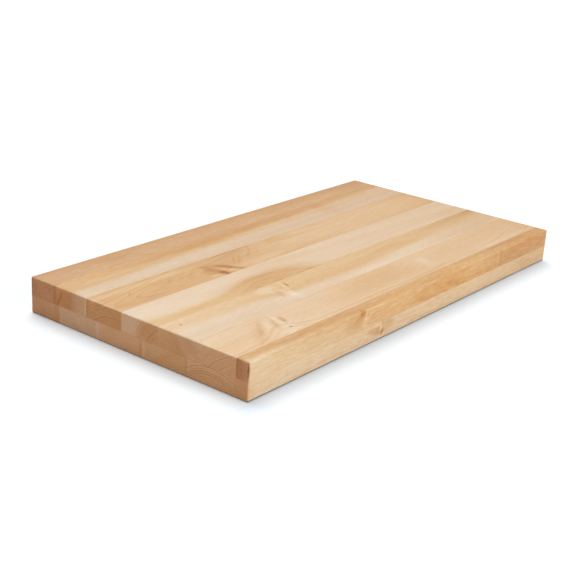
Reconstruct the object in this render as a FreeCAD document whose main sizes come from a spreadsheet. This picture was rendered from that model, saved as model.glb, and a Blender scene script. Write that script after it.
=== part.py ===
import FreeCAD, Part
import math
import os

import Sketcher
from FreeCAD import Vector

# Butcher block countertop: a slab of hard maple, glued up from two layers of full-length staves.
#
# The staves of a layer are ripped to one width and lie side by side, and the two layers lie face
# to face with their joints staggered like brickwork. The glued slab is then cut to its width, so
# the first and the last stave of each layer are what the cut leaves of them. Last of all, one
# small radius eases every outer edge of the slab, and the outer staves each carry a share of it.
#
# Frame: X along the grain, Y across the staves, Z up, with the origin at the centre of the
# underside. Staves are numbered from the back edge at +Y to the front edge at -Y. Sizes are in
# millimetres.


# Driving dimensions

SIZES = {
    "slab_length": (635.0, "along the grain, 25 in"),
    "slab_width": (330.2, "across the staves, 13 in"),
    "stave_thickness": (22.225, "one layer, 7/8 in: two layers make a slab of 1 3/4 in"),
    "upper_stave_width": (55.0, "a full stave of the upper layer"),
    "upper_first_width": (38.4, "what the cut at the back edge leaves of the upper layer's first stave"),
    "lower_stave_width": (65.7, "a full stave of the lower layer"),
    "lower_first_width": (48.8, "what the cut at the back edge leaves of the lower layer's first stave"),
    "eased_radius": (2.0, "radius of every outer edge of the slab"),
}

doc = FreeCAD.newDocument("butcher_block_countertop")
sizes = doc.addObject("Spreadsheet::Sheet", "sizes")
for row, (alias, (value, note)) in enumerate(SIZES.items(), start=1):
    sizes.set(f"A{row}", alias)
    sizes.set(f"B{row}", str(value))
    sizes.set(f"C{row}", note)
    sizes.setAlias(f"B{row}", alias)
doc.recompute()


# Outside of the slab


def sketch_outline(body):
    """The slab's length and width as a rectangle in the underside's plane, centred on the origin."""
    outline = body.newObject("Sketcher::SketchObject", "slab_outline")
    underside = next(plane for plane in body.Origin.OriginFeatures if plane.Role == "XY_Plane")
    outline.AttachmentSupport = [(underside, "")]
    outline.MapMode = "FlatFace"

    half_length = sizes.slab_length / 2
    half_width = sizes.slab_width / 2
    corners = [
        Vector(-half_length, -half_width, 0),
        Vector(half_length, -half_width, 0),
        Vector(half_length, half_width, 0),
        Vector(-half_length, half_width, 0),
    ]
    front, right, back, left = (
        outline.addGeometry(Part.LineSegment(start, end), False)
        for start, end in zip(corners, corners[1:] + corners[:1])
    )

    begins, ends = 1, 2
    axes = -1
    for side, following in ((front, right), (right, back), (back, left), (left, front)):
        outline.addConstraint(Sketcher.Constraint("Coincident", side, ends, following, begins))
    for side in (front, back):
        outline.addConstraint(Sketcher.Constraint("Horizontal", side))
    for side in (right, left):
        outline.addConstraint(Sketcher.Constraint("Vertical", side))
    outline.addConstraint(Sketcher.Constraint("Symmetric", front, begins, right, ends, axes, begins))

    driving = {
        "length": ("DistanceX", front, sizes.slab_length, "sizes.slab_length"),
        "width": ("DistanceY", right, sizes.slab_width, "sizes.slab_width"),
    }
    for name, (direction, side, distance, expression) in driving.items():
        index = outline.addConstraint(Sketcher.Constraint(direction, side, begins, side, ends, distance))
        outline.renameConstraint(index, name)
        outline.setExpression(f"Constraints.{name}", expression)
    return outline


def build_slab():
    """The whole slab as one body: what the glue-up looks like from outside, with its edges eased."""
    slab = doc.addObject("PartDesign::Body", "slab")
    blank = slab.newObject("PartDesign::Pad", "slab_blank")
    blank.Profile = sketch_outline(slab)
    blank.setExpression("Length", "2 * sizes.stave_thickness")
    doc.recompute()

    eased = slab.newObject("PartDesign::Fillet", "slab_eased")
    outer_edges = [f"Edge{number}" for number, _ in enumerate(blank.Shape.Edges, start=1)]
    eased.Base = (blank, outer_edges)
    eased.setExpression("Radius", "sizes.eased_radius")
    doc.recompute()
    return slab


# Staves


def count_staves(layer):
    """How many staves a layer takes from the back edge to the front edge, the cut ones included."""
    first_width = sizes.get(f"{layer}_first_width")
    full_width = sizes.get(f"{layer}_stave_width")
    return 1 + math.ceil((sizes.slab_width - first_width) / full_width)


def add_stave(slab, layer, number, count, underside):
    """One stave: the part of the slab between its own two joints, and between its layer's faces."""
    name = f"{layer}_stave_{number}"
    if number == 1:
        start = "0"
    else:
        start = f"(sizes.{layer}_first_width + {number - 2} * sizes.{layer}_stave_width)"
    if number == count:
        end = "sizes.slab_width"
    else:
        end = f"(sizes.{layer}_first_width + {number - 1} * sizes.{layer}_stave_width)"

    span = doc.addObject("Part::Box", f"{name}_span")
    span.setExpression("Length", "sizes.slab_length")
    span.setExpression("Width", f"{end} - {start}")
    span.setExpression("Height", "sizes.stave_thickness")
    span.setExpression("Placement.Base.x", "-sizes.slab_length / 2")
    span.setExpression("Placement.Base.y", f"sizes.slab_width / 2 - {end}")
    span.setExpression("Placement.Base.z", underside)

    stave = doc.addObject("Part::Common", name)
    stave.Base = slab
    stave.Tool = span
    stave.Label = name
    return stave


def build_layer(slab, layer, underside):
    """The staves of one layer, from the back edge to the front edge."""
    count = count_staves(layer)
    return [add_stave(slab, layer, number, count, underside) for number in range(1, count + 1)]


slab = build_slab()
staves = build_layer(slab, "lower", "0") + build_layer(slab, "upper", "sizes.stave_thickness")
doc.recompute()


# Test of the whole document, then one file for each stave

for item in doc.Objects:
    if "Invalid" in item.State or "Error" in item.State:
        raise RuntimeError(f"{item.Label} failed: {item.State}")
for stave in staves:
    if stave.Shape.isNull() or not stave.Shape.isValid() or len(stave.Shape.Solids) != 1:
        raise RuntimeError(f"{stave.Label} is not one sound solid")

os.makedirs("parts", exist_ok=True)
for stave in staves:
    stave.Shape.exportStep(f"parts/{stave.Label}.step")
    print(f"{stave.Label}: {stave.Shape.Volume / 1000:.1f} cm3, {len(stave.Shape.Faces)} faces")
glued = sum(stave.Shape.Volume for stave in staves)
print(f"{len(staves)} staves, {glued / 1000:.1f} cm3 together, slab {slab.Shape.Volume / 1000:.1f} cm3")
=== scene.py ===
"""Dresses the butcher block countertop: a slab of oiled hard maple on a plain pale floor.

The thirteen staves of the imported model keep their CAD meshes, because their shape is right. Each is
dressed in solid wood. A stave has a place of its own in a tree, so its growth rings, its heartwood
and its knots run right through it, and come out on the top, the side and the end alike.

Objects are in metres. Inside the finishes, places on the slab are in millimetres from its back left
corner on the floor: along the grain, across the staves towards the front, and up.
"""

from __future__ import annotations

import logging
import math
from abc import ABC, abstractmethod
from dataclasses import dataclass, field
from enum import Enum
from typing import ClassVar

import bpy
from mathutils import Color, Matrix, Vector

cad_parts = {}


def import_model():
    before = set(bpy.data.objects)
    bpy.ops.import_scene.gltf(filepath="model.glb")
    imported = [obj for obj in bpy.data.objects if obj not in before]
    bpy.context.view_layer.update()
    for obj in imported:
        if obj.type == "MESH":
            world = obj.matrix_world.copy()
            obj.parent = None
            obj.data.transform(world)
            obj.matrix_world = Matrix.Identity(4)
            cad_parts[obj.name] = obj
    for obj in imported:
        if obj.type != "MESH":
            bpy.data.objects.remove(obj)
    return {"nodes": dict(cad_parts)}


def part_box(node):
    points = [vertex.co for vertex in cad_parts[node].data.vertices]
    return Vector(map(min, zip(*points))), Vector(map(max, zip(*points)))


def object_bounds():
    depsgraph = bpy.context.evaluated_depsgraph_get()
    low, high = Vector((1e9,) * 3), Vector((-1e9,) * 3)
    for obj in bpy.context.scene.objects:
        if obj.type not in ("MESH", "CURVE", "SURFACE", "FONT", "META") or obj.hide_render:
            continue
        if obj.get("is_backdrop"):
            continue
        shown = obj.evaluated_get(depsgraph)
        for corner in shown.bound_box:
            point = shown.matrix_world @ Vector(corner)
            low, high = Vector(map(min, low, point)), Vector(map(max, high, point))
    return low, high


LOG = logging.getLogger("countertop")

MILLIMETRES = 1000.0  # in a metre
NOISE_MIDDLE = 0.5
FULL_BYTE = 255
WHITE = (1.0, 1.0, 1.0, 1.0)

Triple = tuple[float, float, float]
Colour = tuple[float, float, float, float]


# Writing node trees as formulas


class Term:
    """An output socket, with arithmetic that adds Math nodes to the sheet that it is on."""

    def __init__(self, sheet: NodeSheet, socket: bpy.types.NodeSocket) -> None:
        """Wraps one output socket of a sheet."""
        self.sheet = sheet
        self.socket = socket

    def __add__(self, other: Feed) -> Term:
        """Sum of two terms."""
        return self.sheet.math("ADD", self, other)

    def __radd__(self, other: Feed) -> Term:
        """Sum of two terms, with a plain number first."""
        return self.sheet.math("ADD", other, self)

    def __sub__(self, other: Feed) -> Term:
        """Difference of two terms."""
        return self.sheet.math("SUBTRACT", self, other)

    def __rsub__(self, other: Feed) -> Term:
        """Difference of two terms, with a plain number first."""
        return self.sheet.math("SUBTRACT", other, self)

    def __mul__(self, other: Feed) -> Term:
        """Product of two terms."""
        return self.sheet.math("MULTIPLY", self, other)

    def __rmul__(self, other: Feed) -> Term:
        """Product of two terms, with a plain number first."""
        return self.sheet.math("MULTIPLY", other, self)

    def __truediv__(self, other: Feed) -> Term:
        """Quotient of two terms."""
        return self.sheet.math("DIVIDE", self, other)

    def smooth(self, low: Feed, high: Feed) -> Term:
        """A soft step.

        Args:
            low: Where the step gives 0. It may lie above high, and the step then falls.
            high: Where the step gives 1.

        Returns:
            The step, from 0 to 1.
        """
        node = self.sheet.add("ShaderNodeMapRange", interpolation_type="SMOOTHSTEP")
        self.sheet.feed(node.inputs["Value"], self)
        self.sheet.feed(node.inputs["From Min"], low)
        self.sheet.feed(node.inputs["From Max"], high)
        return Term(self.sheet, node.outputs["Result"])


Feed = Term | float | Triple | Colour


class NodeSheet:
    """One node tree under construction."""

    def __init__(self, tree: bpy.types.NodeTree) -> None:
        """Starts on a tree, which may hold nodes already."""
        self.tree = tree

    def add(self, kind: str, **settings: object) -> bpy.types.Node:
        """Adds a node.

        Args:
            kind: The node's type.
            **settings: Values for the node's own properties.

        Returns:
            The new node.
        """
        node = self.tree.nodes.new(kind)
        for name, value in settings.items():
            setattr(node, name, value)
        return node

    def feed(self, socket: bpy.types.NodeSocket, value: Feed) -> None:
        """Links a term to an input socket, or sets a plain value on it.

        Args:
            socket: The input socket.
            value: The term or the plain value.
        """
        if isinstance(value, Term):
            self.tree.links.new(value.socket, socket)
        else:
            socket.default_value = value

    def math(self, operation: str, *terms: Feed) -> Term:
        """Adds a Math node.

        Args:
            operation: What the node does.
            *terms: The one, two or three terms that it works on.

        Returns:
            The node's result.
        """
        node = self.add("ShaderNodeMath", operation=operation)
        for socket, term in zip(node.inputs, terms):
            self.feed(socket, term)
        return Term(self, node.outputs["Value"])

    def vector(self, operation: str, *terms: Feed, gives: str = "Vector") -> Term:
        """Adds a Vector Math node.

        Args:
            operation: What the node does.
            *terms: The terms that it works on.
            gives: The name of the output that is wanted.

        Returns:
            That output.
        """
        node = self.add("ShaderNodeVectorMath", operation=operation)
        for socket, term in zip(node.inputs, terms):
            self.feed(socket, term)
        return Term(self, node.outputs[gives])

    def split(self, place: Term) -> tuple[Term, Term, Term]:
        """Takes a vector apart.

        Args:
            place: The vector.

        Returns:
            Its parts along the grain, across the staves, and up.
        """
        node = self.add("ShaderNodeSeparateXYZ")
        self.feed(node.inputs["Vector"], place)
        along, across, up = (Term(self, socket) for socket in node.outputs)
        return along, across, up

    def shift(self, place: Term, step: Triple, count: Term) -> Term:
        """Moves a point by a number of equal steps.

        Args:
            place: The point.
            step: One step.
            count: How many steps.

        Returns:
            The moved point.
        """
        offset = self.vector("SCALE", step)
        self.feed(offset.socket.node.inputs["Scale"], count)
        return self.vector("ADD", place, offset)

    def noise(self, place: Term, reach: Triple, detail: float = 2.0, roughness: float = 0.5) -> Term:
        """Smooth noise.

        Args:
            place: Where it is read.
            reach: How far one blot of it runs along, across and up, in millimetres.
            detail: How many finer layers are laid over it.
            roughness: How strong each finer layer is beside the one before it.

        Returns:
            The noise, about 0.5 in the middle.
        """
        node = self.add("ShaderNodeTexNoise", noise_dimensions="3D")
        self.feed(node.inputs["Vector"], self.vector("DIVIDE", place, reach))
        self.feed(node.inputs["Scale"], 1.0)
        self.feed(node.inputs["Detail"], detail)
        self.feed(node.inputs["Roughness"], roughness)
        return Term(self, node.outputs["Fac"])

    def noise_of(self, value: Term, detail: float = 0.0) -> Term:
        """Smooth noise of a single number.

        Args:
            value: The number.
            detail: How many finer layers are laid over it.

        Returns:
            The noise, about 0.5 in the middle.
        """
        node = self.add("ShaderNodeTexNoise", noise_dimensions="1D")
        self.feed(node.inputs["W"], value)
        self.feed(node.inputs["Scale"], 1.0)
        self.feed(node.inputs["Detail"], detail)
        return Term(self, node.outputs["Fac"])

    def chance_of(self, value: Term) -> Term:
        """Random noise of a single number, with no likeness between near values.

        Args:
            value: The number.

        Returns:
            A random number from 0 to 1.
        """
        node = self.add("ShaderNodeTexWhiteNoise", noise_dimensions="1D")
        self.feed(node.inputs["W"], value)
        return Term(self, node.outputs["Value"])

    def blend(self, share: Feed, under: Feed, over: Feed, blend_type: str = "MIX") -> Term:
        """Lays one colour over another.

        Args:
            share: How much of the upper colour shows, from 0 to 1.
            under: The lower colour.
            over: The upper colour.
            blend_type: How the two are mixed.

        Returns:
            The mixed colour.
        """
        node = self.add("ShaderNodeMix", data_type="RGBA", blend_type=blend_type)
        for name, value in (("Factor_Float", share), ("A_Color", under), ("B_Color", over)):
            self.feed(next(socket for socket in node.inputs if socket.identifier == name), value)
        return Term(self, next(socket for socket in node.outputs if socket.identifier == "Result_Color"))

    def deepen(self, colour: Term, depth: Term) -> Term:
        """Raises a colour to a power.

        Args:
            colour: The colour.
            depth: The power. Above 1 the colour is darker and richer, and below 1 it is paler.

        Returns:
            The deeper colour.
        """
        node = self.add("ShaderNodeGamma")
        self.feed(node.inputs["Color"], colour)
        self.feed(node.inputs["Gamma"], depth)
        return Term(self, node.outputs["Color"])


# Effects that every stave shares


class Effect(ABC):
    """A shader node group that is built once, and placed in each material with its own values."""

    title: ClassVar[str]
    takes: ClassVar[dict[str, float | Triple]]
    gives: ClassVar[dict[str, str]]

    @classmethod
    @abstractmethod
    def recipe(cls, sheet: NodeSheet, given: dict[str, Term]) -> dict[str, Term]:
        """Builds what is inside the group.

        Args:
            sheet: The group's own node sheet.
            given: The group's inputs, by name.

        Returns:
            What feeds each of the group's outputs, by name.
        """

    @classmethod
    def tree(cls) -> bpy.types.NodeTree:
        """Builds the group the first time that it is asked for.

        Returns:
            The group's tree.
        """
        built = bpy.data.node_groups.get(cls.title)
        if built is not None:
            return built
        tree = bpy.data.node_groups.new(cls.title, "ShaderNodeTree")
        for name, value in cls.takes.items():
            kind = "NodeSocketVector" if isinstance(value, tuple) else "NodeSocketFloat"
            socket = tree.interface.new_socket(name, in_out="INPUT", socket_type=kind)
            socket.default_value = value
        for name, kind in cls.gives.items():
            tree.interface.new_socket(name, in_out="OUTPUT", socket_type=kind)
        sheet = NodeSheet(tree)
        entry = sheet.add("NodeGroupInput")
        leave = sheet.add("NodeGroupOutput")
        given = {name: Term(sheet, entry.outputs[name]) for name in cls.takes}
        for name, term in cls.recipe(sheet, given).items():
            sheet.feed(leave.inputs[name], term)
        return tree

    @classmethod
    def place(cls, sheet: NodeSheet, values: dict[str, Feed]) -> dict[str, Term]:
        """Places the group in a material or in another group.

        Args:
            sheet: Where the group goes.
            values: What feeds each of its inputs, by name.

        Returns:
            The group's outputs, by name.
        """
        node = sheet.add("ShaderNodeGroup", node_tree=cls.tree())
        for name, value in values.items():
            sheet.feed(node.inputs[name], value)
        return {name: Term(sheet, node.outputs[name]) for name in cls.gives}


VALUE = "NodeSocketFloat"


class Ellipsoid(Effect):
    """How far a point is from the middle of a turned ellipsoid: 1 is on its skin."""

    title = "Ellipsoid"
    takes = {
        "Place": (0.0, 0.0, 0.0),
        "Centre": (0.0, 0.0, 0.0),
        "Half Sizes": (1.0, 1.0, 1.0),
        "Axis": (0.0, 0.0, 1.0),
        "Turn": 0.0,
    }
    gives = {"Distance": VALUE}

    @classmethod
    def recipe(cls, sheet: NodeSheet, given: dict[str, Term]) -> dict[str, Term]:
        """Turns the offset back into the ellipsoid's own directions, and scales it.

        Args:
            sheet: The group's own node sheet.
            given: Where a point is, and the ellipsoid's shape.

        Returns:
            The distance.
        """
        turn = sheet.add("ShaderNodeVectorRotate", rotation_type="AXIS_ANGLE", invert=True)
        sheet.feed(turn.inputs["Vector"], sheet.vector("SUBTRACT", given["Place"], given["Centre"]))
        sheet.feed(turn.inputs["Axis"], given["Axis"])
        sheet.feed(turn.inputs["Angle"], given["Turn"])
        scaled = sheet.vector("DIVIDE", Term(sheet, turn.outputs["Vector"]), given["Half Sizes"])
        return {"Distance": sheet.vector("LENGTH", scaled, gives="Value")}

    @classmethod
    def distance(cls, sheet: NodeSheet, given: dict[str, Term]) -> Term:
        """The distance, for a group that takes an ellipsoid's inputs among its own."""
        return cls.place(sheet, {name: given[name] for name in cls.takes})["Distance"]


class KnotSwell(Effect):
    """How far a knot pushes the growth rings outwards near it, in millimetres."""

    title = "Knot Swell"
    takes = {**Ellipsoid.takes, "Height": 10.0}
    gives = {"Swell": VALUE}

    @classmethod
    def recipe(cls, sheet: NodeSheet, given: dict[str, Term]) -> dict[str, Term]:
        """A bell that falls off with the distance from the knot's middle.

        Args:
            sheet: The group's own node sheet.
            given: Where a point is, the knot's shape and its height.

        Returns:
            The swell.
        """
        distance = Ellipsoid.distance(sheet, given)
        bell = sheet.math("EXPONENT", -1.0 * distance * distance)
        return {"Swell": bell * given["Height"]}


class Blot(Effect):
    """A soft-edged mark in the wood, from 0 outside it to 1 in its middle."""

    title = "Blot"
    takes = {**Ellipsoid.takes, "Ragged": 0.0, "Soft": 0.6}
    gives = {"Mask": VALUE}

    @classmethod
    def recipe(cls, sheet: NodeSheet, given: dict[str, Term]) -> dict[str, Term]:
        """A soft step across the ellipsoid's skin, which the ragged term makes uneven."""
        distance = Ellipsoid.distance(sheet, given) + given["Ragged"]
        return {"Mask": distance.smooth(1.0 + given["Soft"], 1.0 - given["Soft"])}


class GrowthRings(Effect):
    """The tree's growth rings around a pith that runs nearly along the stave."""

    title = "Growth Rings"
    takes = {
        "Place": (0.0, 0.0, 0.0),
        "Pith Across": 0.0,
        "Pith Up": -60.0,
        "Drift Across": 0.0,
        "Drift Up": 0.0,
        "Swell": 0.0,
        "Pitch": 2.5,
        "Wander": 6.0,
        "Seed": 0.0,
    }
    gives = {"Radius": VALUE, "Line": VALUE, "Band": VALUE}

    WANDER_REACH = (240.0, 38.0, 38.0)
    SEED_STEP = (911.0, 173.0, 59.0)
    SEED_RINGS = 7.0
    UNEVEN_OVER = 3.1  # rings
    UNEVENNESS = 1.3  # rings
    BAND_OVER = 4.3  # rings
    LINE_STARTS, LINE_DARKEST, LINE_ENDS = 0.40, 0.90, 1.0  # shares of a ring
    FAINTEST_LINE = 0.25

    @classmethod
    def recipe(cls, sheet: NodeSheet, given: dict[str, Term]) -> dict[str, Term]:
        """The distance from the pith, cut into rings that end in a thin late line each.

        Args:
            sheet: The group's own node sheet.
            given: Where a point is, where the pith runs, and how the rings are spaced.

        Returns:
            The ring's radius, its late line, and a slower change of tone over a few rings.
        """
        along, across, up = sheet.split(given["Place"])
        grown = sheet.shift(given["Place"], cls.SEED_STEP, given["Seed"])
        wander = sheet.noise(grown, cls.WANDER_REACH) - NOISE_MIDDLE

        off_across = across - given["Pith Across"] - along * given["Drift Across"]
        off_up = up - given["Pith Up"] - along * given["Drift Up"]
        reach = sheet.math("SQRT", off_across * off_across + off_up * off_up)
        radius = reach + wander * given["Wander"] - given["Swell"]

        count = radius / given["Pitch"]
        seeded = count + given["Seed"] * cls.SEED_RINGS
        uneven = sheet.noise_of(seeded / cls.UNEVEN_OVER)
        ring = count + uneven * cls.UNEVENNESS
        share = sheet.math("FRACT", ring)
        number = sheet.math("FLOOR", ring)
        chance = sheet.chance_of(number + given["Seed"])
        strength = chance * (1.0 - cls.FAINTEST_LINE) + cls.FAINTEST_LINE
        rise = share.smooth(cls.LINE_STARTS, cls.LINE_DARKEST)
        late = rise * share.smooth(cls.LINE_ENDS, cls.LINE_DARKEST)
        band = sheet.noise_of(seeded / cls.BAND_OVER, detail=1.0)
        return {"Radius": radius, "Line": late * strength, "Band": band}


class Fibre(Effect):
    """The fine figure that is not rings: streaks, flecks and clouds that follow the grain."""

    title = "Fibre"
    takes = {"Place": (0.0, 0.0, 0.0), "Seed": 0.0}
    gives = {"Streak": VALUE, "Fine": VALUE, "Fleck": VALUE, "Cloud": VALUE}

    SEED_STEP = (577.0, 131.0, 83.0)
    STREAK_REACH = (60.0, 2.6, 2.6)
    FINE_REACH = (13.0, 1.2, 1.2)
    FLECK_REACH = (4.5, 0.8, 1.6)
    FLECK_FROM, FLECK_TO = 0.60, 0.72
    CLOUD_REACH = (75.0, 22.0, 22.0)

    @classmethod
    def recipe(cls, sheet: NodeSheet, given: dict[str, Term]) -> dict[str, Term]:
        """Four noises, each drawn out along the grain by its own length.

        Args:
            sheet: The group's own node sheet.
            given: Where a point is, and the stave's seed.

        Returns:
            The four noises, by name.
        """
        place = sheet.shift(given["Place"], cls.SEED_STEP, given["Seed"])
        return {
            "Streak": sheet.noise(place, cls.STREAK_REACH, detail=4.0, roughness=0.6),
            "Fine": sheet.noise(place, cls.FINE_REACH, roughness=0.6),
            "Fleck": sheet.noise(place, cls.FLECK_REACH, detail=0.0).smooth(cls.FLECK_FROM, cls.FLECK_TO),
            "Cloud": sheet.noise(place, cls.CLOUD_REACH),
        }


class CutFaces(Effect):
    """Where a point is on the outside of the slab.

    End is on sawn end grain. The other three are on the rounded edges: those round the top, which
    take a painted highlight, the upright ones, which take painted shade, and those round the underside,
    which take a painted dark contact shadow.
    """

    title = "Cut Faces"
    takes = {"Place": (0.0, 0.0, 0.0), "Slab Size": (1.0, 1.0, 1.0), "Radius": 2.0}
    gives = {"End": VALUE, "Highlight Crest": VALUE, "Shaded Corner": VALUE, "Contact Shade": VALUE}

    END_FROM, END_TO = 0.55, 1.0  # shares of the eased radius
    EDGE_GAIN = 2.0  # how steeply a mask rises towards its edge
    CONTACT_SHADE_GAIN = 7.0  # the same for the painted contact shadow along the long sides
    END_CONTACT_SHADE_GAIN = 1.4  # the same for the painted contact shadow along the ends

    @classmethod
    def recipe(cls, sheet: NodeSheet, given: dict[str, Term]) -> dict[str, Term]:
        """How far a point reaches into the eased zone along each axis, as a share of the radius.

        Args:
            sheet: The group's own node sheet.
            given: Where a point is, the slab's size, and the radius of its edges.

        Returns:
            The masks of the end grain and of the three kinds of edge.
        """
        half = sheet.vector("DIVIDE", given["Slab Size"], (2.0, 2.0, 2.0))
        offset = sheet.vector("SUBTRACT", given["Place"], half)
        inside = sheet.vector("SUBTRACT", half, sheet.vector("ABSOLUTE", offset))
        reaches = []
        for gap in sheet.split(inside):
            reaches.append(sheet.math("MAXIMUM", (given["Radius"] - gap) / given["Radius"], 0.0))
        along, across, up = reaches
        level = (along + across) * up
        # Where the painted contact shadow lies on the lower rounded edges
        contact_level = along * cls.END_CONTACT_SHADE_GAIN + across * cls.CONTACT_SHADE_GAIN
        _, _, height = sheet.split(offset)
        upper = sheet.math("GREATER_THAN", height, 0.0)
        return {
            "End": along.smooth(cls.END_FROM, cls.END_TO),
            "Highlight Crest": sheet.math("MINIMUM", level * cls.EDGE_GAIN, 1.0) * upper,
            "Shaded Corner": sheet.math("MINIMUM", along * across * cls.EDGE_GAIN, 1.0),
            "Contact Shade": sheet.math("MINIMUM", contact_level * up, 1.0) * (1.0 - upper),
        }


class GlueLine(Effect):
    """The hairline where a stave meets its neighbours."""

    title = "Glue Line"
    takes = {"Place": (0.0, 0.0, 0.0), "Back Joint": 0.0, "Front Joint": 1.0, "Level Joint": 0.0}
    gives = {"Mask": VALUE}

    INNER, OUTER = 0.10, 0.55  # mm from the joint

    @classmethod
    def recipe(cls, sheet: NodeSheet, given: dict[str, Term]) -> dict[str, Term]:
        """A soft step in the distance to the nearest of the three joints.

        Args:
            sheet: The group's own node sheet.
            given: Where a point is, and where the joints are.

        Returns:
            The mask.
        """
        _, across, up = sheet.split(given["Place"])
        distance = sheet.math("ABSOLUTE", across - given["Back Joint"])
        for term, joint in ((across, "Front Joint"), (up, "Level Joint")):
            distance = sheet.math("MINIMUM", distance, sheet.math("ABSOLUTE", term - given[joint]))
        return {"Mask": distance.smooth(cls.OUTER, cls.INNER)}


# The maple's colours and figure


class Tone(Enum):
    """Colours of oiled maple, as the eye sees them in plain light, and two dark tones of painted shade for
    the edges.
    """

    CREAM = "E5CCAE"
    ASH = "DDC1A2"
    STRAW = "E2BF95"
    BUTTER = "DEBA88"
    WHEAT = "D8B48A"
    HONEY = "D5A974"
    ROSE = "CCA072"
    GOLD = "CE9D63"
    AMBER = "DBA360"
    TAN = "BE8C5A"
    BARK = "A98C66"
    # Dark tones of painted shade: one for the near upright edge, one for the contact shadow on the lower
    # edges
    EDGE_SHADE = "5A524C"
    SHADOW_LINE = "2A211A"

    @property
    def linear(self) -> Colour:
        """The colour as a shader takes it: without the screen's curve, and fully opaque."""
        seen = Color(part / FULL_BYTE for part in bytes.fromhex(self.value))
        return (*seen.from_srgb_to_scene_linear(), 1.0)


class Face(Enum):
    """A face of the slab that a mark is seen on, with the axis that the mark is turned about."""

    TOP = (0.0, 0.0, 1.0)
    SIDE = (0.0, 1.0, 0.0)
    END = (1.0, 0.0, 0.0)


@dataclass(frozen=True)
class Pith:
    """Where the middle of the tree ran, beside the slab's left end, and how it drifts along it."""

    across: float
    up: float
    drift_across: float = 0.0
    drift_up: float = 0.0


@dataclass(frozen=True)
class Knot:
    """A knot or a burl that the growth rings bulge around."""

    centre: Triple
    half_sizes: Triple
    height: float
    turn: float = 0.0


@dataclass(frozen=True)
class Mark:
    """A stain, a streak or a pin knot: it changes the wood's depth of colour, its tone, or both.

    A negative depth makes the wood paler, and share says how much of the tone shows.
    """

    centre: Triple
    half_sizes: Triple
    depth: float = 0.0
    tone: Tone | None = None
    share: float = 0.0
    turn: float = 0.0
    face: Face = Face.TOP
    soft: float = 0.6
    ragged: float = 0.5


@dataclass(frozen=True)
class SideMark(Mark):
    """A mark that is turned as it is seen on the front side."""

    face: Face = Face.SIDE


@dataclass(frozen=True)
class Figure:
    """What one stave's wood looks like."""

    pith: Pith
    sapwood: Tone
    heartwood: Tone
    heart_radius: float  # mm from the pith
    heart_edge: float = 5.0  # mm
    pitch: float = 2.6  # mm from ring to ring
    line: float = 0.16  # how dark the late lines are
    wander: float = 6.0  # mm that the rings stray
    grain: float = 1.0  # how strong the fine figure is
    far_depth_and_shade: float = 0.15  # how much deeper the colour is at the right end: partly the wood's own tone, partly painted shade where the light falls off
    knots: tuple[Knot, ...] = ()
    marks: tuple[Mark, ...] = ()


ALL_HEART = 1000.0  # mm, beyond every ring of the slab
NO_HEART = -1000.0  # mm, inside every ring
TOP = 44.0  # mm up, close under the work surface
SIDE = 330.0  # mm across, close behind the front side

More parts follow.
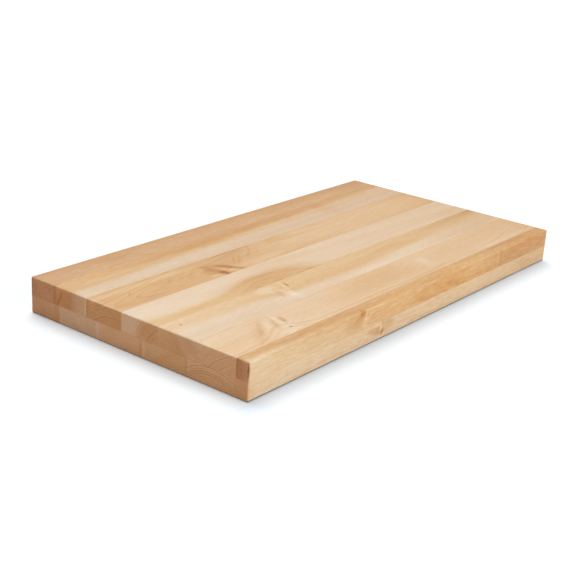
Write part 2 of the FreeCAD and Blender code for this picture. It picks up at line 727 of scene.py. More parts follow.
UPPER_FIGURES = (
    Figure(
        pith=Pith(-38.0, 4.0, 0.01, 0.005),
        sapwood=Tone.ROSE,
        heartwood=Tone.TAN,
        heart_radius=54.0,
        heart_edge=14.0,
        pitch=2.2,
        line=0.10,
        far_depth_and_shade=0.05,
        marks=(
            # Golden streaks along the back edge
            Mark((430.0, 9.0, TOP), (150.0, 6.0, 20.0), 0.0, Tone.AMBER, 0.4),
            Mark((160.0, 6.0, TOP), (170.0, 4.5, 20.0), 0.03, Tone.AMBER, 0.4),
            # Broad tones
            Mark((60.0, 9.0, TOP), (110.0, 12.0, 14.0), 0.05),
            Mark((115.0, 20.0, TOP), (24.0, 9.0, 14.0), 0.10),
            Mark((450.0, 30.0, TOP), (300.0, 9.0, 14.0), -0.03, Tone.HONEY, 0.4),
            Mark((615.0, 18.0, TOP), (42.0, 24.0, 20.0), 0.04, Tone.ROSE, 0.4),
            # Sawn end
            Mark((0.0, 18.0, 33.0), (4.0, 26.0, 18.0), -0.02, Tone.TAN, 0.4),
            # Painted shade: a dark line on the far upright edge
            Mark((0.0, 0.5, 33.0), (4.0, 2.5, 14.0), 0.40, ragged=0.2),
        ),
    ),
    Figure(
        pith=Pith(-10.0, 40.0, -0.039, 0.0),
        sapwood=Tone.ASH,
        heartwood=Tone.HONEY,
        heart_radius=82.0,
        heart_edge=7.0,
        pitch=2.4,
        line=0.10,
        wander=5.0,
        far_depth_and_shade=0.28,
        marks=(
            # A golden streak, and a pale one in front of it
            Mark((265.0, 50.0, TOP), (150.0, 9.0, 12.0), -0.05, Tone.GOLD, 0.8),
            Mark((395.0, 57.0, TOP), (100.0, 5.0, 12.0), -0.12),
            # Sawn end
            Mark((0.0, 92.2, 33.0), (4.0, 2.0, 16.0), -0.26, ragged=0.2),
            Mark((0.0, 80.0, 33.0), (4.0, 16.0, 18.0), 0.10, Tone.WHEAT, 0.4),
            # Broad tones, and patches in them
            Mark((40.0, 60.0, TOP), (80.0, 10.0, 12.0), -0.04, Tone.HONEY, 0.6),
            Mark((560.0, 50.0, TOP), (110.0, 14.0, 12.0), -0.14, Tone.HONEY, 0.3),
            Mark((235.0, 56.0, TOP), (35.0, 6.0, 8.0), 0.05, Tone.GOLD, 0.4),
            Mark((345.0, 56.0, TOP), (35.0, 6.0, 8.0), -0.06),
            Mark((430.0, 81.0, TOP), (55.0, 12.0, 12.0), -0.05),
            Mark((476.0, 45.0, TOP), (13.0, 8.0, 12.0), 0.07, Tone.ROSE, 0.3),
            Mark((477.0, 68.0, TOP), (14.0, 22.0, 12.0), 0.07, Tone.WHEAT, 0.3),
            Mark((330.0, 61.0, TOP), (330.0, 5.0, 12.0), 0.04, Tone.BUTTER, 0.5),
            # Darker wood at the back of the sawn end
            Mark((0.0, 40.5, 33.0), (10.0, 3.0, 16.0), 0.44),
            Mark((0.0, 48.3, 29.0), (10.0, 2.0, 10.0), 0.45, turn=-28.0, face=Face.END),
            Mark((0.0, 58.0, 30.0), (5.0, 16.0, 15.0), 0.24),
        ),
    ),
    Figure(
        pith=Pith(138.0, -18.0, -0.12, 0.04),
        sapwood=Tone.STRAW,
        heartwood=Tone.HONEY,
        heart_radius=ALL_HEART,
        pitch=2.3,
        line=0.20,
        grain=0.7,
        far_depth_and_shade=0.16,
        knots=(Knot((178.0, 138.0, TOP), (42.0, 26.0, 30.0), 9.0, 10.0),),
        marks=(
            # Tones at the left
            Mark((75.0, 103.0, TOP), (95.0, 5.0, 12.0), -0.10, Tone.BUTTER, 0.5),
            Mark((60.0, 136.0, TOP), (95.0, 9.0, 12.0), -0.02, Tone.GOLD, 0.3),
            # Deeper wood round the knot
            Mark((226.0, 108.0, TOP), (40.0, 18.0, 14.0), 0.01, Tone.ROSE, 0.5, turn=-20.0),
            Mark((176.0, 126.0, TOP), (18.0, 21.0, 14.0), 0.03, Tone.GOLD, 0.6),
            # The knot's own strokes
            Mark((170.0, 113.5, TOP), (7.0, 2.4, 12.0), 0.26, Tone.TAN, 0.5, turn=24.0, ragged=0.2),
            Mark((171.5, 133.0, TOP), (16.0, 5.2, 12.0), 0.14, Tone.TAN, 0.4, turn=68.0),
            Mark((175.0, 142.5, TOP), (7.0, 4.0, 14.0), 0.50, Tone.TAN, 0.7, turn=77.0),
            Mark((195.0, 134.0, TOP), (20.0, 3.6, 14.0), 0.42, Tone.GOLD, 0.8, turn=56.0, ragged=0.4),
            Mark((185.5, 138.0, TOP), (13.5, 2.2, 12.0), -0.28, Tone.AMBER, 0.25, turn=56.0, ragged=0.2),
            Mark((188.0, 148.5, TOP), (5.0, 1.4, 12.0), 0.20, turn=25.0, ragged=0.2),
            Mark((159.5, 142.5, TOP), (6.0, 3.0, 12.0), -0.04, Tone.BUTTER, 0.6, turn=43.0),
            # Short slanting strokes
            Mark((217.0, 118.0, TOP), (15.0, 1.2, 10.0), 0.18, turn=-46.0, ragged=0.2),
            Mark((224.0, 121.0, TOP), (15.0, 1.2, 10.0), 0.12, turn=-42.0, ragged=0.2),
            Mark((246.0, 117.0, TOP), (15.0, 1.3, 10.0), 0.18, turn=-38.0, ragged=0.2),
            Mark((262.0, 102.0, TOP), (8.0, 1.4, 10.0), 0.20, turn=-62.0, ragged=0.2),
            Mark((268.0, 112.0, TOP), (17.0, 1.2, 10.0), 0.08, turn=-42.0, ragged=0.2),
            Mark((43.0, 117.0, TOP), (5.0, 1.3, 8.0), 0.22, turn=-38.0, ragged=0.2),
            Mark((108.0, 116.0, TOP), (7.0, 1.2, 8.0), 0.20, turn=-42.0, ragged=0.2),
            # A streak at the back joint
            Mark((232.0, 95.5, TOP), (38.0, 1.6, 10.0), 0.10, Tone.TAN, 0.25, ragged=0.2),
            # Paler wood at the right of the knot
            Mark((470.0, 120.0, TOP), (190.0, 36.0, 16.0), -0.03, Tone.STRAW, 0.85),
            Mark((252.0, 140.0, TOP), (52.0, 9.0, 12.0), -0.09, Tone.STRAW, 0.4),
            # Sawn end
            Mark((-1.0, 95.0, 33.0), (4.0, 1.3, 13.0), 0.10, ragged=0.2),
        ),
    ),
    Figure(
        pith=Pith(228.4, 2.6, 0.063, 0.0),
        sapwood=Tone.CREAM,
        heartwood=Tone.BUTTER,
        heart_radius=60.5,
        heart_edge=3.5,
        pitch=3.0,
        line=0.20,
        wander=4.0,
        grain=0.75,
        far_depth_and_shade=0.36,
        knots=(Knot((193.0, 193.0, TOP), (58.0, 46.0, 46.0), 23.0),),
        marks=(
            # The golden heart, and tones in it
            Mark((198.0, 190.0, TOP), (66.0, 17.0, 16.0), 0.0, Tone.HONEY, 0.8),
            Mark((188.0, 179.0, TOP), (30.0, 4.0, 10.0), 0.03, Tone.ROSE, 0.35),
            Mark((245.0, 190.0, TOP), (20.0, 3.0, 10.0), 0.02, Tone.ROSE, 0.3, turn=38.0),
            Mark((236.0, 193.0, TOP), (30.0, 9.0, 10.0), -0.05),
            Mark((240.0, 160.0, TOP), (60.0, 12.0, 10.0), 0.0, Tone.BUTTER, 0.25),
            # Dark spots at the front joint
            Mark((165.0, 203.0, TOP), (8.0, 3.0, 10.0), 0.22),
            Mark((202.0, 203.0, TOP), (8.0, 2.6, 10.0), 0.20),
            Mark((243.0, 203.0, TOP), (6.0, 2.8, 10.0), 0.24),
            Mark((262.0, 203.0, TOP), (11.0, 3.0, 10.0), 0.14, Tone.TAN, 0.2),
            # Streaks towards both ends
            Mark((470.0, 190.0, TOP), (170.0, 2.2, 10.0), 0.10, turn=-1.5),
            Mark((540.0, 200.0, TOP), (70.0, 3.0, 10.0), -0.08),
            Mark((610.0, 195.0, TOP), (50.0, 12.0, 10.0), 0.0, Tone.HONEY, 0.15),
            Mark((75.0, 196.5, TOP), (75.0, 1.4, 10.0), 0.08),
            Mark((80.0, 201.0, TOP), (85.0, 1.2, 10.0), 0.10),
            # Sawn end
            Mark((0.0, 190.0, 34.0), (4.0, 14.0, 14.0), 0.03, Tone.HONEY, 0.6),
            Mark((-1.0, 148.8, 33.0), (4.0, 1.2, 13.0), 0.16, ragged=0.2),
        ),
    ),
    Figure(
        pith=Pith(185.0, -10.0),
        sapwood=Tone.CREAM,
        heartwood=Tone.BUTTER,
        heart_radius=66.0,
        heart_edge=7.0,
        pitch=2.6,
        line=0.12,
        far_depth_and_shade=0.25,
        knots=(
            Knot((185.0, 222.0, TOP), (28.0, 22.0, 24.0), 6.0),
            Knot((330.0, 235.0, TOP), (180.0, 60.0, 60.0), 14.0),
        ),
        marks=(
            # Broad tones
            Mark((70.0, 246.0, TOP), (100.0, 18.0, 16.0), 0.02, Tone.ASH, 0.4),
            Mark((380.0, 224.0, TOP), (190.0, 15.0, 10.0), -0.05, Tone.STRAW, 0.45),
            Mark((575.0, 209.5, TOP), (90.0, 7.0, 10.0), -0.02, Tone.ROSE, 0.5),
            Mark((600.0, 245.0, TOP), (120.0, 26.0, 12.0), -0.05, Tone.WHEAT, 0.5),
            Mark((605.0, 228.0, TOP), (60.0, 9.0, 10.0), 0.0, Tone.HONEY, 0.3),
            Mark((240.0, 248.0, TOP), (45.0, 12.0, 10.0), -0.06, Tone.HONEY, 0.25),
            Mark((340.0, 248.0, TOP), (45.0, 12.0, 10.0), -0.05),
            Mark((25.0, 211.0, TOP), (90.0, 15.0, 14.0), -0.08, Tone.STRAW, 0.7),
            # Sawn end
            Mark((0.0, 231.0, 33.0), (3.0, 34.0, 16.0), 0.06, Tone.HONEY, 0.5),
            # A pin knot near the left end
            Mark(
                (21.0, 217.0, TOP),
                (2.2, 1.3, 6.0),
                0.24,
                Tone.BARK,
                0.7,
                turn=-35.0,
                soft=0.4,
                ragged=0.2,
            ),
            Mark((28.0, 211.0, TOP), (6.0, 1.8, 6.0), -0.10, turn=-50.0),
            # The small knot, and paler wood round it
            Mark((163.0, 214.0, TOP), (13.0, 9.0, 8.0), -0.10, Tone.CREAM, 0.45),
            Mark((172.0, 218.0, TOP), (5.0, 1.4, 6.0), 0.14, turn=-30.0),
            Mark((184.0, 220.0, TOP), (4.6, 2.4, 6.0), 0.18, turn=-20.0),
            Mark((197.0, 217.6, TOP), (5.6, 1.8, 8.0), 0.38, Tone.TAN, 0.5, turn=-70.0, ragged=0.2),
            Mark((189.5, 224.0, TOP), (19.0, 2.4, 8.0), -0.18, turn=-70.0),
            Mark((179.0, 233.0, TOP), (5.0, 13.0, 8.0), -0.10, Tone.CREAM, 0.5),
            Mark((168.0, 234.0, TOP), (3.0, 8.0, 8.0), 0.08, Tone.HONEY, 0.3, turn=20.0),
            Mark((181.0, 247.0, TOP), (6.0, 13.0, 8.0), -0.14),
            # Narrow streaks
            Mark((506.0, 205.5, TOP), (38.0, 5.0, 8.0), -0.16),
            Mark((626.0, 205.5, TOP), (18.0, 4.5, 8.0), 0.07, Tone.ROSE, 0.6),
            Mark((402.0, 221.0, TOP), (34.0, 5.0, 8.0), 0.04, Tone.HONEY, 0.3),
            Mark((290.0, 227.0, TOP), (110.0, 9.0, 8.0), 0.03, Tone.AMBER, 0.15),
            Mark((410.0, 239.0, TOP), (60.0, 5.0, 8.0), -0.10, Tone.CREAM, 0.3),
            Mark((420.0, 257.0, TOP), (90.0, 4.5, 8.0), -0.12),
        ),
    ),
    Figure(
        pith=Pith(346.0, -44.0),
        sapwood=Tone.STRAW,
        heartwood=Tone.HONEY,
        heart_radius=NO_HEART,
        pitch=2.2,
        line=0.26,
        wander=5.0,
        far_depth_and_shade=0.20,
        knots=(
            Knot((92.0, 284.0, TOP), (34.0, 26.0, 28.0), 9.0),
            Knot((690.0, 300.0, TOP), (130.0, 60.0, 60.0), 14.0),
            Knot((386.0, 285.0, TOP), (36.0, 15.0, 16.0), 6.5, 10.0),
        ),
        marks=(
            # The knot's own strokes
            Mark((72.0, 283.0, TOP), (22.0, 3.4, 8.0), 0.12, Tone.TAN, 0.25, turn=-46.0),
            Mark((62.0, 291.0, TOP), (28.0, 9.0, 8.0), 0.05, Tone.HONEY, 0.3, turn=-52.0),
            Mark((95.0, 284.5, TOP), (12.0, 2.8, 8.0), 0.17, Tone.GOLD, 0.4, turn=-62.0),
            Mark((84.0, 284.0, TOP), (10.0, 3.0, 8.0), -0.12, turn=-52.0),
            Mark((111.0, 282.0, TOP), (8.0, 2.8, 8.0), 0.31, Tone.TAN, 0.4, turn=-70.0),
            Mark((104.0, 281.0, TOP), (18.0, 2.4, 8.0), -0.20, turn=-74.0),
            # Paler wood round the knot, with a pin knot
            Mark((140.0, 285.0, TOP), (70.0, 40.0, 8.0), -0.04, Tone.CREAM, 0.35),
            Mark((106.0, 296.0, TOP), (5.0, 3.0, 8.0), -0.14, turn=-40.0),
            Mark((102.5, 300.5, TOP), (2.6, 1.2, 6.0), 0.24, Tone.BARK, 0.7, soft=0.4, ragged=0.2),
            Mark((95.0, 308.5, TOP), (13.0, 4.6, 8.0), -0.16, Tone.CREAM, 0.4),
            Mark((30.0, 272.0, TOP), (50.0, 12.0, 8.0), -0.07, Tone.CREAM, 0.25),
            Mark((30.0, 304.0, TOP), (60.0, 9.0, 8.0), -0.05),
            # The curl in the middle
            Mark((391.0, 285.0, TOP), (9.0, 13.0, 8.0), -0.16, turn=20.0),
            Mark((382.0, 275.0, TOP), (22.0, 16.0, 8.0), -0.06),
            # Streaks and broad tones
            Mark((545.0, 308.0, TOP), (95.0, 3.4, 8.0), -0.16),
            Mark((520.0, 268.0, TOP), (110.0, 8.0, 8.0), 0.04),
            Mark((300.0, 268.0, TOP), (60.0, 9.0, 8.0), -0.02, Tone.HONEY, 0.3),
            Mark((290.0, 287.0, TOP), (90.0, 11.0, 8.0), 0.02, Tone.HONEY, 0.3),
            Mark((490.0, 290.0, TOP), (120.0, 30.0, 8.0), 0.02, Tone.CREAM, 0.3),
            Mark((610.0, 296.0, TOP), (50.0, 18.0, 8.0), 0.08, Tone.CREAM, 0.2),
            Mark((634.0, 290.0, TOP), (22.0, 28.0, 8.0), 0.08),
            Mark((398.0, 266.0, TOP), (40.0, 10.0, 8.0), -0.06),
        ),
    ),
    Figure(
        pith=Pith(278.0, 30.0, 0.03, 0.0),
        sapwood=Tone.STRAW,
        heartwood=Tone.HONEY,
        heart_radius=46.3,
        heart_edge=2.5,
        pitch=2.4,
        line=0.18,
        wander=4.0,
        grain=1.35,
        far_depth_and_shade=0.08,
        marks=(
            # The top
            Mark((150.0, 321.0, 46.0), (170.0, 12.0, 5.0), -0.03, Tone.GOLD, 0.75),
            Mark((420.0, 321.0, 46.0), (260.0, 12.0, 6.0), -0.04, Tone.GOLD, 0.6),
            Mark((20.0, 328.0, TOP), (36.0, 4.0, 5.0), -0.08, Tone.STRAW, 0.5),
            Mark((620.0, 320.0, 46.0), (50.0, 10.0, 4.0), 0.0, Tone.STRAW, 0.4),
            Mark((550.0, 317.0, 46.0), (110.0, 3.6, 4.0), 0.11, Tone.ROSE, 0.4),
            Mark((535.0, 327.0, 46.0), (110.0, 3.2, 4.0), -0.12),
            Mark((45.0, 317.0, 46.0), (60.0, 3.6, 4.0), -0.08),
            Mark((55.0, 324.5, 46.0), (60.0, 3.0, 4.0), 0.08),
            Mark((130.0, 330.0, 43.0), (80.0, 3.0, 4.0), 0.02, Tone.HONEY, 0.4),
            # Broad tones of the front side
            Mark((40.0, SIDE, 36.0), (60.0, 8.0, 10.0), 0.04, Tone.BUTTER, 0.5),
            Mark((150.0, SIDE, 34.0), (55.0, 8.0, 14.0), 0.0, Tone.HONEY, 0.5),
            Mark((140.0, SIDE, 38.0), (40.0, 8.0, 7.0), -0.06, Tone.AMBER, 0.3),
            Mark((245.0, SIDE, 38.0), (35.0, 8.0, 7.0), -0.02, Tone.AMBER, 0.4),
            Mark((545.0, SIDE, 38.0), (70.0, 8.0, 7.0), 0.0, Tone.AMBER, 0.9),
            Mark((390.0, SIDE, 27.0), (90.0, 8.0, 5.0), 0.04, Tone.GOLD, 0.6),
            Mark((250.0, SIDE, 36.0), (60.0, 14.0, 12.0), -0.07, Tone.AMBER, 0.6),
            Mark((400.0, SIDE, 33.0), (130.0, 14.0, 16.0), -0.07, Tone.AMBER, 0.8),
            # Slanting strokes of the front side
            SideMark((350.0, SIDE, 34.0), (26.0, 8.0, 4.0), 0.12, turn=25.0),
            SideMark((395.0, SIDE, 29.0), (30.0, 8.0, 3.4), 0.14, Tone.AMBER, 0.6, turn=12.0),
            # The knot under the top edge
            SideMark((194.4, SIDE, 42.0), (5.4, 6.0, 2.7), 0.52, Tone.GOLD, 0.9, turn=-8.0, ragged=0.2),
            SideMark((189.5, SIDE, 38.0), (9.0, 8.0, 5.0), 0.09, Tone.AMBER, 0.7, turn=-20.0),
            SideMark((180.0, SIDE, 36.0), (17.0, 8.0, 12.0), 0.08, Tone.GOLD, 0.5),
            SideMark((204.6, SIDE, 39.5), (1.2, 6.0, 3.0), 0.26, turn=11.0, ragged=0.2),
            SideMark(
                (199.6, SIDE, 32.0),
                (2.6, 8.0, 10.0),
                -0.20,
                Tone.AMBER,
                0.7,
                turn=11.0,
                soft=0.8,
                ragged=0.2,
            ),
            SideMark((204.0, SIDE, 32.0), (6.0, 8.0, 10.0), -0.03, Tone.AMBER, 0.15, turn=11.0, soft=0.9),
            # A dark bar beside a pale one
            SideMark((506.0, SIDE, 34.0), (3.0, 8.0, 12.0), 0.14),
            SideMark((499.0, SIDE, 34.0), (3.0, 8.0, 12.0), -0.10),
            # Deeper gold at the right of the front side
            Mark((575.0, SIDE, 33.0), (95.0, 12.0, 18.0), 0.16, Tone.GOLD, 0.9),
            Mark((590.0, SIDE, 38.0), (70.0, 12.0, 8.0), 0.02, Tone.AMBER, 0.4),
            # Sawn end
            Mark((0.0, 321.0, 34.0), (3.0, 11.0, 16.0), 0.10, Tone.ROSE, 0.75),
            Mark((0.0, 315.0, 34.0), (3.0, 2.4, 16.0), 0.20),
            # Painted shade: a dark line on the near upright edge
            Mark((-1.0, 329.6, 34.5), (1.9, 1.2, 9.5), 0.2, Tone.EDGE_SHADE, 0.75, ragged=0.2),
        ),
    ),
)

LOWER_FIGURES = (
    Figure(
        pith=Pith(-40.0, -25.0),
        sapwood=Tone.WHEAT,
        heartwood=Tone.ROSE,
        heart_radius=88.0,
        heart_edge=20.0,
        pitch=2.8,
        line=0.12,
        marks=(
            Mark((0.0, 44.0, 11.0), (16.0, 5.0, 14.0), 0.10, Tone.HONEY, 0.5),
            Mark((0.0, 20.0, 11.0), (4.0, 26.0, 16.0), -0.08),
        ),
    ),
    Figure(
        pith=Pith(102.0, -56.0),
        sapwood=Tone.ASH,
        heartwood=Tone.ASH,
        heart_radius=NO_HEART,
        pitch=3.0,
        line=0.10,
        marks=(
            Mark((0.0, 50.0, 11.0), (4.0, 1.6, 16.0), -0.12),
            Mark((0.0, 112.4, 11.0), (4.0, 3.2, 16.0), -0.22),
        ),
    ),
    Figure(
        pith=Pith(171.0, -55.0),
        sapwood=Tone.STRAW,
        heartwood=Tone.BUTTER,
        heart_radius=60.0,
        pitch=2.7,
        line=0.14,
        marks=(
            Mark((0.0, 178.6, 12.0), (16.0, 1.8, 9.0), 0.32),
            Mark((0.0, 117.0, 11.0), (4.0, 2.4, 16.0), -0.08),
        ),
    ),
    Figure(
        pith=Pith(250.0, -40.0),
        sapwood=Tone.STRAW,
        heartwood=Tone.BUTTER,
        heart_radius=70.0,
        pitch=2.6,
        line=0.16,
        marks=(
            Mark((0.0, 183.0, 11.0), (4.0, 3.0, 14.0), -0.20),
            Mark((0.0, 245.5, 11.0), (4.0, 1.6, 14.0), 0.18),
        ),
    ),
    Figure(
        pith=Pith(281.0, -38.0, 0.01, -0.01),
        sapwood=Tone.STRAW,
        heartwood=Tone.HONEY,
        heart_radius=NO_HEART,
        pitch=3.0,
        line=0.48,
        wander=3.0,
        marks=(
            Mark((0.0, 262.0, 21.0), (4.0, 26.0, 5.0), -0.08, soft=0.9),
            Mark((0.0, 248.6, 11.0), (4.0, 2.2, 14.0), -0.12),
        ),
    ),
    Figure(
        pith=Pith(262.0, -34.0, 0.02, 0.0),
        sapwood=Tone.STRAW,
        heartwood=Tone.ROSE,
        heart_radius=NO_HEART,
        pitch=2.8,
        line=0.10,
        grain=1.35,
        far_depth_and_shade=0.12,
        knots=(Knot((232.0, SIDE, 12.0), (28.0, 20.0, 12.0), 7.0),),
        marks=(
            # The knot
            SideMark((235.2, SIDE, 9.2), (4.2, 8.0, 2.0), 0.50, Tone.GOLD, 0.8, turn=-52.0, ragged=0.2),
            SideMark((232.6, SIDE, 14.2), (3.6, 8.0, 1.3), -0.24, turn=-72.0, ragged=0.2),
            SideMark((235.6, SIDE, 19.0), (1.2, 8.0, 3.8), 0.28, Tone.TAN, 0.2, ragged=0.2),
            SideMark((246.0, SIDE, 16.0), (12.0, 8.0, 7.0), 0.09, Tone.GOLD, 0.5),
            SideMark((219.0, SIDE, 13.5), (14.0, 10.0, 3.8), 0.07, Tone.GOLD, 0.5, turn=14.0),
            SideMark((227.5, SIDE, 13.0), (5.5, 10.0, 5.0), 0.06, Tone.GOLD, 0.5, turn=-20.0),
            # Broad tones
            Mark((40.0, SIDE, 10.0), (70.0, 8.0, 14.0), -0.05),
            Mark((610.0, SIDE, 16.0), (70.0, 8.0, 11.0), 0.06, Tone.HONEY, 0.6),
            Mark((345.0, SIDE, 16.0), (40.0, 8.0, 7.0), -0.09, Tone.AMBER, 0.15),
            Mark((252.0, SIDE, 5.5), (35.0, 8.0, 5.0), -0.06),
            # Sawn end
            Mark((0.0, 322.0, 11.0), (10.0, 12.0, 14.0), 0.06, Tone.HONEY, 0.5),
        ),
    ),
)


# The oiled maple finish


@dataclass(frozen=True)
class OiledMaple:
    """Sanded maple under a thin coat of oil. The shares say how deep each effect colours the wood."""

    plain_depth: float = 0.95
    streak_share: float = 0.17
    fine_share: float = 0.70
    fleck_share: float = 0.06
    cloud_share: float = 0.22
    band_share: float = 0.18
    end_tint: Colour = (0.828, 0.607, 0.470, 1.0)
    end_line_share: float = 1.0
    end_fine_share: float = 0.6
    glue_depth: float = 0.22
    # Painted highlight: paler top rounded edges, where light catches the rounding
    painted_highlight_depth: float = -0.17
    # Painted shade: darker upright rounded edges, which turn away from the light
    corner_shade_depth: float = 0.25
    # Painted shade: a dark contact shadow laid over the lower rounded edges
    contact_shade_tone: Tone = Tone.SHADOW_LINE
    contact_shade_share: float = 0.92
    heart_ragged: float = 9.0
    mark_ragged: float = 1.6
    roughness: float = 0.42
    fine_roughness: float = 0.12
    end_roughness: float = 0.16
    specular: float = 0.35
    bump_strength: float = 0.35
    bump_distance: float = 0.00012

    def material(self, node: str, figure: Figure, seed: int, slab: Slab) -> bpy.types.Material:
        """Builds one stave's material.

        Args:
            node: The stave's CAD node.
            figure: What its wood looks like.
            seed: A number that no other stave has, for its noises.
            slab: The slab's place and size.

        Returns:
            The new material.
        """
        material = bpy.data.materials.new(f"maple_{node}")
        material.use_nodes = True
        sheet = NodeSheet(material.node_tree)
        shader = material.node_tree.nodes["Principled BSDF"]

        place = slab.place(sheet)
        fibre = Fibre.place(sheet, {"Place": place, "Seed": seed})
        rings = self.rings(sheet, place, figure, seed)
        cut = CutFaces.place(sheet, {"Place": place, "Slab Size": slab.size, "Radius": slab.eased})
        glue = GlueLine.place(sheet, {"Place": place, **slab.joints(node)})["Mask"]

        colour = self.heart(sheet, rings, fibre, figure)
        along, _, _ = sheet.split(place)
        line = rings["Line"] * (1.0 + cut["End"] * self.end_line_share)
        depth = self.plain_depth + line * figure.line
        depth += (rings["Band"] - NOISE_MIDDLE) * self.band_share
        depth += (fibre["Streak"] - NOISE_MIDDLE) * (self.streak_share * figure.grain)
        fine = (fibre["Fine"] - NOISE_MIDDLE) * (1.0 + cut["End"] * self.end_fine_share)
        depth += fine * (self.fine_share * figure.grain)
        depth += (fibre["Cloud"] - NOISE_MIDDLE) * self.cloud_share
        depth += fibre["Fleck"] * self.fleck_share
        # Deeper towards the right end: partly the wood's tone, partly painted shade for light that falls off
        # to the right
        depth += along * (figure.far_depth_and_shade / slab.size[0])
        # Painted highlight on the top rounded edges
        depth += cut["Highlight Crest"] * self.painted_highlight_depth
        # Painted shade on the upright rounded edges
        depth += cut["Shaded Corner"] * self.corner_shade_depth
        depth += glue * self.glue_depth
        ragged = (fibre["Streak"] - NOISE_MIDDLE) * self.mark_ragged
        for mark in figure.marks:
            colour, depth = self.mark(sheet, place, ragged, mark, colour, depth)
        colour = sheet.deepen(colour, depth)
        colour = sheet.blend(cut["End"], colour, self.end_tint, "MULTIPLY")
        # Painted shade: the dark contact shadow on the lower rounded edges, where the slab meets the floor
        colour = sheet.blend(cut["Contact Shade"] * self.contact_shade_share, colour, self.contact_shade_tone.linear)
        sheet.feed(shader.inputs["Base Color"], colour)
        self.surface(sheet, shader, fibre, cut, line)
        return material

    def surface(
        self,
        sheet: NodeSheet,
        shader: bpy.types.Node,
        fibre: dict[str, Term],
        cut: dict[str, Term],
        line: Term,
    ) -> None:
        """Gives the wood the oil's soft gloss and the fine relief of its grain.

        Args:
            sheet: The material's node sheet.
            shader: The material's Principled BSDF.
            fibre: The fine figure's outputs.
            cut: The outputs that say where the slab is cut and eased.
            line: The rings' late lines.
        """
        roughness = (fibre["Fine"] - NOISE_MIDDLE) * self.fine_roughness + cut["End"] * self.end_roughness
        sheet.feed(shader.inputs["Roughness"], roughness + self.roughness)
        shader.inputs["Specular IOR Level"].default_value = self.specular
        bump = sheet.add("ShaderNodeBump")
        bump.inputs["Strength"].default_value = self.bump_strength
        bump.inputs["Distance"].default_value = self.bump_distance
        sheet.feed(bump.inputs["Height"], fibre["Fine"] + fibre["Streak"] - line)
        sheet.feed(shader.inputs["Normal"], Term(sheet, bump.outputs["Normal"]))

    @staticmethod
    def rings(sheet: NodeSheet, place: Term, figure: Figure, seed: int) -> dict[str, Term]:
        """Places the growth rings, with what each knot adds to them.

        Args:
            sheet: The material's node sheet.
            place: Where a point is on the slab.
            figure: What the stave's wood looks like.
            seed: The stave's seed.

        Returns:
            The outputs of the growth rings, by name.
        """
        values = {
            "Place": place,
            "Pith Across": figure.pith.across,
            "Pith Up": figure.pith.up,
            "Drift Across": figure.pith.drift_across,
            "Drift Up": figure.pith.drift_up,
            "Pitch": figure.pitch,
            "Wander": figure.wander,
            "Seed": seed,
        }
        for knot in figure.knots:
            shape = {
                "Place": place,
                "Centre": knot.centre,
                "Half Sizes": knot.half_sizes,
                "Turn": math.radians(knot.turn),
                "Height": knot.height,
            }
            swell = KnotSwell.place(sheet, shape)["Swell"]
            values["Swell"] = swell + values["Swell"] if "Swell" in values else swell
        return GrowthRings.place(sheet, values)

    def heart(
        self, sheet: NodeSheet, rings: dict[str, Term], fibre: dict[str, Term], figure: Figure
    ) -> Term:
        """The wood's own colour: heartwood near the pith, and sapwood outside it.

        Args:
            sheet: The material's node sheet.
            rings: The growth rings' outputs.
            fibre: The fine figure's outputs, which make the border uneven.
            figure: What the stave's wood looks like.

        Returns:
            The colour, before any mark or shade is laid over it.
        """
        edge = rings["Radius"] + (fibre["Cloud"] - NOISE_MIDDLE) * self.heart_ragged
        share = edge.smooth(figure.heart_radius + figure.heart_edge, figure.heart_radius - figure.heart_edge)
        return sheet.blend(share, figure.sapwood.linear, figure.heartwood.linear)

    @staticmethod
    def mark(
        sheet: NodeSheet, place: Term, ragged: Term, mark: Mark, colour: Term, depth: Term
    ) -> tuple[Term, Term]:
        """Lays one mark over the wood.

        Args:
            sheet: The material's node sheet.
            place: Where a point is on the slab.
            ragged: What makes the mark's edge uneven.
            mark: The mark.
            colour: The wood's colour so far.
            depth: The wood's depth of colour so far.

        Returns:
            The colour and the depth with the mark laid over them.
        """
        shape = {
            "Place": place,
            "Centre": mark.centre,
            "Half Sizes": mark.half_sizes,
            "Axis": mark.face.value,
            "Turn": math.radians(mark.turn),
            "Ragged": ragged * mark.ragged,
            "Soft": mark.soft,
        }
        mask = Blot.place(sheet, shape)["Mask"]
        if mark.tone is not None:
            colour = sheet.blend(mask * mark.share, colour, mark.tone.linear)
        if mark.depth:
            depth = depth + mask * mark.depth
        return colour, depth


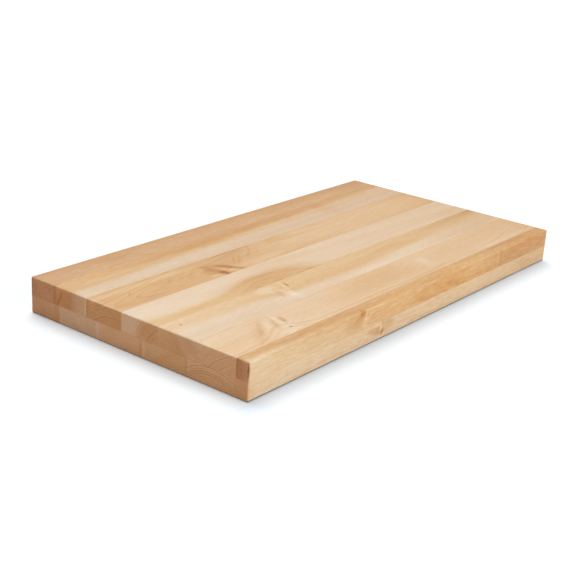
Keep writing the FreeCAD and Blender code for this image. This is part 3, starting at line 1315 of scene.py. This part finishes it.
@dataclass(frozen=True)
class Slab:
    """The slab as a whole: where it lies and how large it is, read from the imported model."""

    low: Vector
    high: Vector
    eased: float = 2.0  # mm
    beyond: float = 50.0  # mm past the slab's own edge, where an outer stave has no joint

    @property
    def back_left(self) -> Vector:
        """The back left corner on the floor, in metres."""
        return Vector((self.low.x, self.high.y, self.low.z))

    @property
    def size(self) -> Triple:
        """Length, width and thickness, in millimetres."""
        return tuple((self.high - self.low) * MILLIMETRES)

    def place(self, sheet: NodeSheet) -> Term:
        """Where a point is on the slab.

        Args:
            sheet: The material's node sheet.

        Returns:
            Millimetres from the back left corner on the floor: along, across to the front, and up.
        """
        turn = sheet.add("ShaderNodeMapping", vector_type="POINT")
        sheet.feed(turn.inputs["Vector"], Term(sheet, sheet.add("ShaderNodeTexCoord").outputs["Object"]))
        turn.inputs["Scale"].default_value = (MILLIMETRES, -MILLIMETRES, MILLIMETRES)
        corner = self.back_left * MILLIMETRES
        turn.inputs["Location"].default_value = (-corner.x, corner.y, -corner.z)
        return Term(sheet, turn.outputs["Vector"])

    def joints(self, node: str) -> dict[str, float]:
        """Where a stave is glued to its neighbours.

        Args:
            node: The stave's CAD node.

        Returns:
            The glued faces, in millimetres from the slab's back left corner, by name.
        """
        low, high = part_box(node)
        back = (self.back_left.y - high.y) * MILLIMETRES
        front = (self.back_left.y - low.y) * MILLIMETRES
        _, width, thickness = self.size
        return {
            "Back Joint": back if back > self.eased else -self.beyond,
            "Front Joint": front if front < width - self.eased else width + self.beyond,
            "Level Joint": thickness / 2,
        }


@dataclass(frozen=True)
class StaveLayer:
    """One layer of the glue-up: its staves, from the back edge to the front edge."""

    name: str
    figures: tuple[Figure, ...]
    first_seed: int
    finish: OiledMaple = field(default_factory=OiledMaple)

    def dress(self, nodes: dict[str, bpy.types.Object], slab: Slab) -> None:
        """Gives each stave its own wood.

        Args:
            nodes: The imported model's CAD nodes, by name.
            slab: The slab's place and size.
        """
        for number, figure in enumerate(self.figures, start=1):
            node = f"{self.name}_stave_{number}"
            stave = nodes[node].data
            material = self.finish.material(node, figure, self.first_seed + number, slab)
            stave.materials.clear()
            stave.materials.append(material)
            LOG.info("%s: %d marks, %d knots", node, len(figure.marks), len(figure.knots))


# Floor, light and camera


@dataclass(frozen=True)
class Lamp:
    """A far, wide lamp: 3.14 lights a face that is square to it as strongly as a full white sky."""

    name: str
    strength: float
    width: float
    direction: Triple

    def build(self) -> bpy.types.Object:
        """Makes the lamp.

        Returns:
            The new lamp.
        """
        data = bpy.data.lights.new(self.name, "SUN")
        data.energy = self.strength
        data.angle = math.radians(self.width)
        lamp = bpy.data.objects.new(self.name, data)
        lamp.rotation_euler = Vector(self.direction).to_track_quat("Z", "Y").to_euler()
        bpy.context.scene.collection.objects.link(lamp)
        return lamp


@dataclass(frozen=True)
class Studio:
    """A plain pale floor that runs to the horizon, an even white sky, and two soft lamps."""

    slab: Slab
    floor_reach: float = 30.0
    floor_colour: Colour = (0.88, 0.95, 1.0, 1.0)
    front_colour: Colour = (0.79, 0.89, 1.0, 1.0)  # makes up for the warm light that the front side throws
    front_reach: float = 34.0  # mm
    contact_reach: float = 3.0  # mm that stay plain beside the slab
    floor_lift: float = 0.12  # of white, added where the camera sees the floor
    sky_strength: float = 0.42  # as light, where 1 is a full white sky
    lamps: tuple[Lamp, ...] = (
        Lamp("back_lamp", strength=1.95, width=52.0, direction=(0.26, 0.38, 0.89)),
        Lamp("front_lamp", strength=1.17, width=36.0, direction=(0.05, -0.95, 0.30)),
    )

    def build(self) -> None:
        """Makes the floor, the sky and the lamps."""
        self.floor()
        self.sky()
        for lamp in self.lamps:
            lamp.build()
        LOG.info("studio: floor, sky and %d lamps", len(self.lamps))

    @staticmethod
    def seen(sheet: NodeSheet) -> Term:
        """1 for what the camera sees straight, and 0 for what lights the slab."""
        return Term(sheet, sheet.add("ShaderNodeLightPath").outputs["Is Camera Ray"])

    def floor(self) -> bpy.types.Object:
        """Makes a large square just under the slab, which looks white and still takes its shadow.

        Returns:
            The floor.
        """
        bpy.ops.object.select_all(action="DESELECT")
        bpy.ops.mesh.primitive_plane_add(size=self.floor_reach)
        floor = bpy.context.active_object
        floor.name = "floor"
        material = bpy.data.materials.new("pale_floor")
        material.use_nodes = True
        sheet = NodeSheet(material.node_tree)
        shader = material.node_tree.nodes["Principled BSDF"]
        sheet.feed(shader.inputs["Base Color"], self.pale(sheet))
        shader.inputs["Roughness"].default_value = 1.0
        shader.inputs["Specular IOR Level"].default_value = 0.0
        shader.inputs["Emission Color"].default_value = WHITE
        sheet.feed(shader.inputs["Emission Strength"], self.seen(sheet) * self.floor_lift)
        floor.data.materials.append(material)
        floor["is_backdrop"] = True
        return floor

    def pale(self, sheet: NodeSheet) -> Term:
        """The floor's colour, which is a little cooler along the slab's front side.

        Args:
            sheet: The floor's node sheet.

        Returns:
            The colour.
        """
        along, across, _ = sheet.split(self.slab.place(sheet))
        length, width, _ = self.slab.size
        rise = across.smooth(width, width + self.contact_reach)
        near = rise * across.smooth(width + self.front_reach, width)
        beside = along.smooth(-self.front_reach, 0.0) * along.smooth(length + self.front_reach, length)
        return sheet.blend(near * beside, self.floor_colour, self.front_colour)

    def sky(self) -> None:
        """White all round, at full strength where it is seen and at a plain level as light."""
        world = bpy.data.worlds.new("plain_white")
        bpy.context.scene.world = world
        world.use_nodes = True
        sheet = NodeSheet(world.node_tree)
        background = world.node_tree.nodes["Background"]
        background.inputs["Color"].default_value = WHITE
        lit = self.seen(sheet) * (1.0 - self.sky_strength) + self.sky_strength
        sheet.feed(background.inputs["Strength"], lit)


@dataclass(frozen=True)
class Photographer:
    """The camera, placed where the photograph was taken from."""

    aim: Triple = (-0.0209, 0.0214, -0.0065)
    azimuth: float = -52.355  # degrees
    elevation: float = 20.709  # degrees
    roll: float = 3.445  # degrees
    distance: float = 1.4925
    lens: float = 72.93  # mm
    sensor: float = 36.0  # mm

    def build(self) -> bpy.types.Object:
        """Makes the camera and sets it as the scene's own.

        Returns:
            The camera.
        """
        azimuth, elevation = math.radians(self.azimuth), math.radians(self.elevation)
        flat = math.cos(elevation)
        back = Vector((math.sin(azimuth) * flat, -math.cos(azimuth) * flat, math.sin(elevation)))
        data = bpy.data.cameras.new("camera")
        data.lens = self.lens
        data.sensor_width = self.sensor
        camera = bpy.data.objects.new("camera", data)
        upright = back.to_track_quat("Z", "Y").to_matrix()
        rolled = upright @ Matrix.Rotation(math.radians(self.roll), 3, "Z")
        place = Vector(self.aim) + back * self.distance
        camera.matrix_world = Matrix.Translation(place) @ rolled.to_4x4()
        bpy.context.scene.collection.objects.link(camera)
        bpy.context.scene.camera = camera
        LOG.info("camera: %.2f m away", self.distance)
        return camera


def main() -> None:
    """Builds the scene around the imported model."""
    logging.basicConfig(level=logging.INFO, format="%(name)s: %(message)s")
    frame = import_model()
    cad_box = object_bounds()
    bpy.context.scene.view_settings.view_transform = "Standard"
    slab = Slab(*cad_box)
    StaveLayer("upper", UPPER_FIGURES, first_seed=0).dress(frame["nodes"], slab)
    StaveLayer("lower", LOWER_FIGURES, first_seed=20).dress(frame["nodes"], slab)
    Studio(slab).build()
    Photographer().build()


if __name__ == "__main__":
    main()
